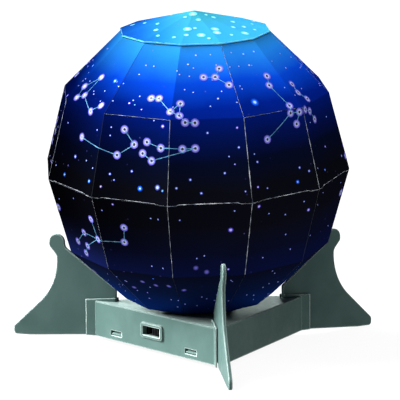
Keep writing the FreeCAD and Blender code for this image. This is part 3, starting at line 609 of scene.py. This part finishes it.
LION = ([(-10, -2), (-7, 4), (4, 3), (6, 7), (10, 7), (7, -3)],
        [(0, 1), (1, 2), (2, 3), (3, 4), (2, 5), (5, 0)])
LYRE = ([(0, 5), (2, 2), (0, -4), (-4, -3), (-2, 3)], [(0, 1), (1, 2), (2, 3), (3, 4), (4, 0)])
# Each with the azimuth and latitude of its middle.
FAR_FIGURES = (
    (SCORPION, 128, 12), (PLOUGH, 150, 42), (LYRE, 158, 14), (HUNTER, 188, 12), (QUEEN, 205, 42),
    (SWAN, 232, 13), (CROSS, 252, 40), (LION, 270, 12), (LYRE, 298, 40), (CROSS, 306, 14),
    (LION, 128, -16), (SWAN, 168, -15), (LYRE, 205, -16), (PLOUGH, 238, -15),
    (SCORPION, 285, -14), (QUEEN, 322, -14), (LYRE, 135, -45), (CROSS, 200, -46),
    (LYRE, 262, -45), (QUEEN, 318, -45),
)

# Single stars of the side that is seen first, by their size step, in whole degrees.
NEAR_WHITE = {
    1: ((-27, 6), (-7, 12), (-2, 10), (8, 7), (3, -5), (-14, -4), (-26, -7), (53, 17), (58, 4), (63, 17),
        (67, 4), (92, 7), (114, -4), (54, -3), (84, -4), (92, -7), (95, -3), (68, -6), (76, -8), (78, -17),
        (92, -20), (113, -22), (82, -24), (68, -25), (40, -23), (43, -22), (23, -6), (26, -6), (34, -6),
        (21, -27),
        (26, -27), (16, 34), (23, 30), (-3, 24), (4, 23), (4, 26), (-25, 23), (35, 43), (47, 36), (64, 42),
        (109, 53), (116, 44), (118, 34), (111, 23), (94, 24), (51, 58), (66, 58), (79, -46)),
    2: ((6, 9), (15, 11), (33, 6), (38, 9), (51, 11), (42, 4), (64, 14), (83, 9), (87, 7), (116, 6), (36, 54),
        (57, 20), (45, 26), (51, 39), (102, 47), (41, 58), (75, 52)),
    3: ((-15, 12),),
    4: ((26, 6),),
}
NEAR_VIOLET = {
    1: ((55, 14),),
    2: ((3, 4), (63, 5), (53, -28), (9, 36), (57, 27), (8, -2), (103, 13)),
    3: ((63, -2), (87, -8), (27, 28)),
    4: ((53, -11),),
}
NEAR_BLUE = {
    2: ((98, 5), (28, 5)),
    3: ((-20, 4), (-3, 5), (81, 4), (-40, 46), (84, 57), (75, 57)),
    4: ((19, 5), (-6, 44)),
    5: ((68, 36),),
}
CAP_STARS = {
    3: ((41, 75), (6, 84), (-27, 75), (-54, 71), (132, 68), (111, 66), (77, 67), (21, 67), (4, 67), (100, 85),
        (53, 66), (160, 72), (185, 66), (210, 78), (262, 68), (280, 80)),
    4: ((32, 69), (51, 82), (104, 82), (-9, 71), (94, 72), (109, 70), (115, 75), (150, 66), (225, 70),
        (300, 66)),
    5: ((31, 74), (67, 73), (65, 70), (47, 69), (92, 66), (31, 87), (195, 76), (240, 73)),
}
STAR_SIZES = {1: 0.75 * MM, 2: 1.05 * MM, 3: 1.5 * MM, 4: 2.0 * MM, 5: 3.2 * MM}
RING_STEPS = (0.14, 0.22, 0.36, 0.55, 0.75, 1.0)    # rings of points in a star, in shares of its radius
DOT_STEPS = (0.2, 0.45, 0.7, 1.0)
RING_SIDES = 20
CAP_SIDES = 14
PINHOLE_SIDES = 12
DOT_SIDES = 10
SMALL_SIDES = 8
RING_STAR = 2.9 * MM
FAINT_STAR = 2.1 * MM
FAINTNESS = 0.72
PINHOLE = 0.85 * MM
FIGURE_LINE = 0.42 * MM
FIGURE_LINE_STEPS = 24

# How many single stars are strewn over the far side; a quarter as many go above and below the near figures.
FAR_COUNTS = {"white": 260, "violet": 50, "blue": 34}
FAR_SIDE = (120, 330)      # azimuths
FAR_SINES = (0.06, 0.85)   # sines of latitudes
NEAR_SIDE = (-30, 120)
NEAR_LOW = (-56, -32)      # latitudes
NEAR_HIGH = (34, 56)


def print_figures():
    """Joined stars with a pinhole in each, drawn as a dark disc of painted shade, on both sides, and the
    faint ones.
    """
    rings = Decal("print_ring_stars", star_material("print_ring_star", STAR_WHITE, STAR_VIOLET, 0.34, 0.72))
    # dark discs for the pinholes: painted shade of the dark inside seen through each hole
    pinhole_shade = Decal("print_pinholes", plain_print("print_pinhole", rgb(6, 7, 14), rgb(10, 11, 20)), "dark_card",
                  PINHOLE_LIFT)
    lines = Decal("print_figure_lines", dome_print("print_line", rgb(100, 160, 190), rgb(60, 106, 142)),
                  lift=LINE_LIFT)
    figures = list(NEAR_FIGURES)
    for (places, joined), azimuth, latitude in FAR_FIGURES:
        narrow = math.cos(math.radians(latitude))
        figures.append(([(azimuth - x / narrow, latitude + y) for x, y in places], joined))
    for places, joined in figures:
        for azimuth, latitude in places:
            rings.disc(azimuth, latitude, RING_STAR, RING_STEPS, RING_SIDES)
            pinhole_shade.disc(azimuth, latitude, PINHOLE, (1.0,), PINHOLE_SIDES)
        for a, b in joined:
            path = [(places[a][0] + (places[b][0] - places[a][0]) * k / FIGURE_LINE_STEPS,
                     places[a][1] + (places[b][1] - places[a][1]) * k / FIGURE_LINE_STEPS)
                    for k in range(FIGURE_LINE_STEPS + 1)]
            spots = [on_card(azimuth, latitude, lines.lift) for azimuth, latitude in path]
            lines.ribbon(spots, [FIGURE_LINE] * len(spots))
    for azimuth, latitude in FAINT_STARS:
        rings.disc(azimuth, latitude, FAINT_STAR, RING_STEPS, RING_SIDES, faint=FAINTNESS)
    for decal in (rings, pinhole_shade, lines):
        decal.build()


def print_single_stars():
    """Single stars of three colours, placed near and strewn far, and those on the cap."""
    kinds = {
        "white": (NEAR_WHITE, rgb(176, 192, 246), rgb(66, 78, 180), 0.25, 0.6),
        "violet": (NEAR_VIOLET, rgb(190, 178, 255), rgb(70, 60, 180), 0.3, 0.6),
        "blue": (NEAR_BLUE, rgb(170, 206, 255), rgb(14, 84, 224), 0.12, 0.5),
    }
    chance = random.Random(11)
    for name, (near, middle, glow, full, fade) in kinds.items():
        dots = Decal("print_%s_stars" % name, star_material("print_%s_star" % name, middle, glow, full, fade))
        for size, places in near.items():
            for azimuth, latitude in places:
                dots.disc(azimuth, latitude, STAR_SIZES[size], DOT_STEPS, DOT_SIDES)
        for _ in range(FAR_COUNTS[name]):
            azimuth = chance.uniform(*FAR_SIDE)
            latitude = chance.choice((-1, 1)) * math.degrees(math.asin(chance.uniform(*FAR_SINES)))
            size = chance.choice((1, 1, 1, 2) if name == "white" else (2, 3, 3, 4))
            dots.disc(azimuth, latitude, STAR_SIZES[size], DOT_STEPS, DOT_SIDES)
        for _ in range(FAR_COUNTS[name] // 4):
            azimuth = chance.uniform(*NEAR_SIDE)
            latitude = chance.choice((chance.uniform(*NEAR_LOW), chance.uniform(*NEAR_HIGH)))
            dots.disc(azimuth, latitude, STAR_SIZES[1], DOT_STEPS, SMALL_SIDES)
        dots.build()
    cap_star = star_material("print_cap_star", rgb(156, 196, 206), rgb(82, 164, 194), 0.1, 0.65)
    bright = Decal("print_cap_stars", cap_star)
    for size, places in CAP_STARS.items():
        for azimuth, latitude in places:
            bright.disc(azimuth, latitude, STAR_SIZES[size], DOT_STEPS, CAP_SIDES)
    bright.build()


# Cut edges that show white, by (level above, line) for upright ones; widths in mm.
UPRIGHT_EDGES = {(1, 1): 0.18, (1, 2): 0.4, (1, 3): 0.36, (2, 1): 0.2, (2, 2): 0.36, (2, 0): 0.1,
                 (0, 2): 0.12, (0, 4): 0.12}
FAR_EDGES = (0.14, 0.24, 0.36)
EQUATOR_EDGES = {0: 0.22, 1: 0.42, 2: 0.32}        # by column
EQUATOR_EDGE = 0.28        # for the other columns
UPPER_EDGE = 0.1
# width of the painted highlight along the cap's rim
RIM_EDGE = 0.3
WEAR = (0.25, 0.7, 0.9, 1.0, 1.2)                  # shares of the width, by chance
UPRIGHT_STEPS = 16
EQUATOR_STEPS = 30
UPPER_STEPS = 20
RIM_INSET = 0.8 * MM       # up the cap from its rim, where its painted highlight runs
TAB_REACH = 4.0            # degrees on each side of a corner over which a glue tab shifts the edge
TAB_SHIFT = 0.8 * MM


def seam_places(a, b, steps, lift, shift=None):
    """(point, normal) places along a seam, from corner a to corner b about the dome's centre.

    Shift gives how far the seam moves up the dome's axis, over the card, at a share of its length.
    """
    places = []
    for k in range(steps + 1):
        share = k / steps
        spot = a.lerp(b, share)
        normal = spot.normalized()
        if shift:
            places.append(lay((spot + AXIS * shift(share)).normalized(), lift))
        else:
            places.append((CENTRE + spot + normal * lift, normal))
    return places


def tab_shift(share):
    """How far the printed edge lies off the equator, at this share of a column, for the tabs at corners."""
    by_tab = min(share, 1 - share) < TAB_REACH / STEP
    return -TAB_SHIFT / 2 if by_tab else TAB_SHIFT / 2


def print_edges():
    """White hairlines where the card was cut, and a cyan line along the cap's rim: painted highlight."""
    edges = Decal("print_cut_edges", dome_print("print_cut_edge", rgb(200, 206, 214), rgb(96, 104, 120)))
    # a cyan line on the cap's outer face along its rim: painted highlight
    rim = Decal("print_cap_edge", dome_print("print_cap_edge", rgb(124, 186, 204), rgb(70, 150, 186)))
    chance = random.Random(5)

    def worn(width, steps):
        return [width * MM * chance.choice(WEAR) for _ in range(steps + 1)]

    def upright(level, line, width):
        seam = seam_places(corner(level, line), corner(level + 1, line), UPRIGHT_STEPS, EDGE_LIFT)
        edges.ribbon(seam, worn(width, UPRIGHT_STEPS))

    for (level, line), width in UPRIGHT_EDGES.items():
        upright(level, line, width)
    for line in range(4, SIDES):
        for level in (1, 2):
            upright(level, line, chance.choice(FAR_EDGES))
    for column in range(SIDES):
        seam = seam_places(corner(2, column), corner(2, column + 1), EQUATOR_STEPS, SEAM_LIFT, tab_shift)
        edges.ribbon(seam, worn(EQUATOR_EDGES.get(column, EQUATOR_EDGE), EQUATOR_STEPS))
        if column % 2 == 0:
            seam = seam_places(corner(1, column), corner(1, column + 1), UPPER_STEPS, EDGE_LIFT)
            edges.ribbon(seam, worn(UPPER_EDGE, UPPER_STEPS))
        seam = seam_places(cap_rim(column), cap_rim(column + 1), UPPER_STEPS, SEAM_LIFT,
                           lambda share: RIM_INSET)
        rim.ribbon(seam, worn(RIM_EDGE, UPPER_STEPS))
    edges.build()
    rim.build()


# ---------------------------------------------------------------- making
def make_floor():
    """A plain floor that shines softly, far larger than the view."""
    size = FLOOR_HALF
    mesh = bpy.data.meshes.new("floor")
    corners = [(-size, -size, 0), (size, -size, 0), (size, size, 0), (-size, size, 0)]
    mesh.from_pydata(corners, [], [(0, 1, 2, 3)])
    floor = bpy.data.objects.new("floor", mesh)
    bpy.context.collection.objects.link(floor)
    g = Graph("floor")
    paper = g.mix(g.noise(3, 2), (FLOOR_PAPER,) * 3 + (1,), (FLOOR_PAPER_DARK,) * 3 + (1,))
    mesh.materials.append(g.finish(Base_Color=paper, Roughness=0.9, Specular_IOR_Level=0.0,
                                   Emission_Color=(1, 1, 1, 1), Emission_Strength=FLOOR_GLOW))


def make_lights():
    """Soft suns, and a little light from all round."""
    for name, (azimuth, elevation, strength, size) in LIGHTS.items():
        data = bpy.data.lights.new(name, "SUN")
        data.energy = strength
        data.angle = math.radians(size)
        data.color = BEHIND_TINT if name == "behind" else (1.0, 1.0, 1.0)
        light = bpy.data.objects.new(name, data)
        light.rotation_euler = direction(azimuth, elevation).to_track_quat("Z", "Y").to_euler()
        bpy.context.collection.objects.link(light)
    world = bpy.data.worlds.new("studio")
    world.use_nodes = True
    backdrop = world.node_tree.nodes["Background"]
    backdrop.inputs["Strength"].default_value = AMBIENT
    backdrop.inputs["Color"].default_value = (1, 1, 1, 1)
    bpy.context.scene.world = world


def set_view():
    """Colours as they are, with no film look."""
    settings = bpy.context.scene.view_settings
    settings.view_transform = "Standard"
    settings.look = "None"


make_camera()
make_lights()
make_floor()
set_view()
dress_frame()
print_figures()
print_single_stars()
print_edges()
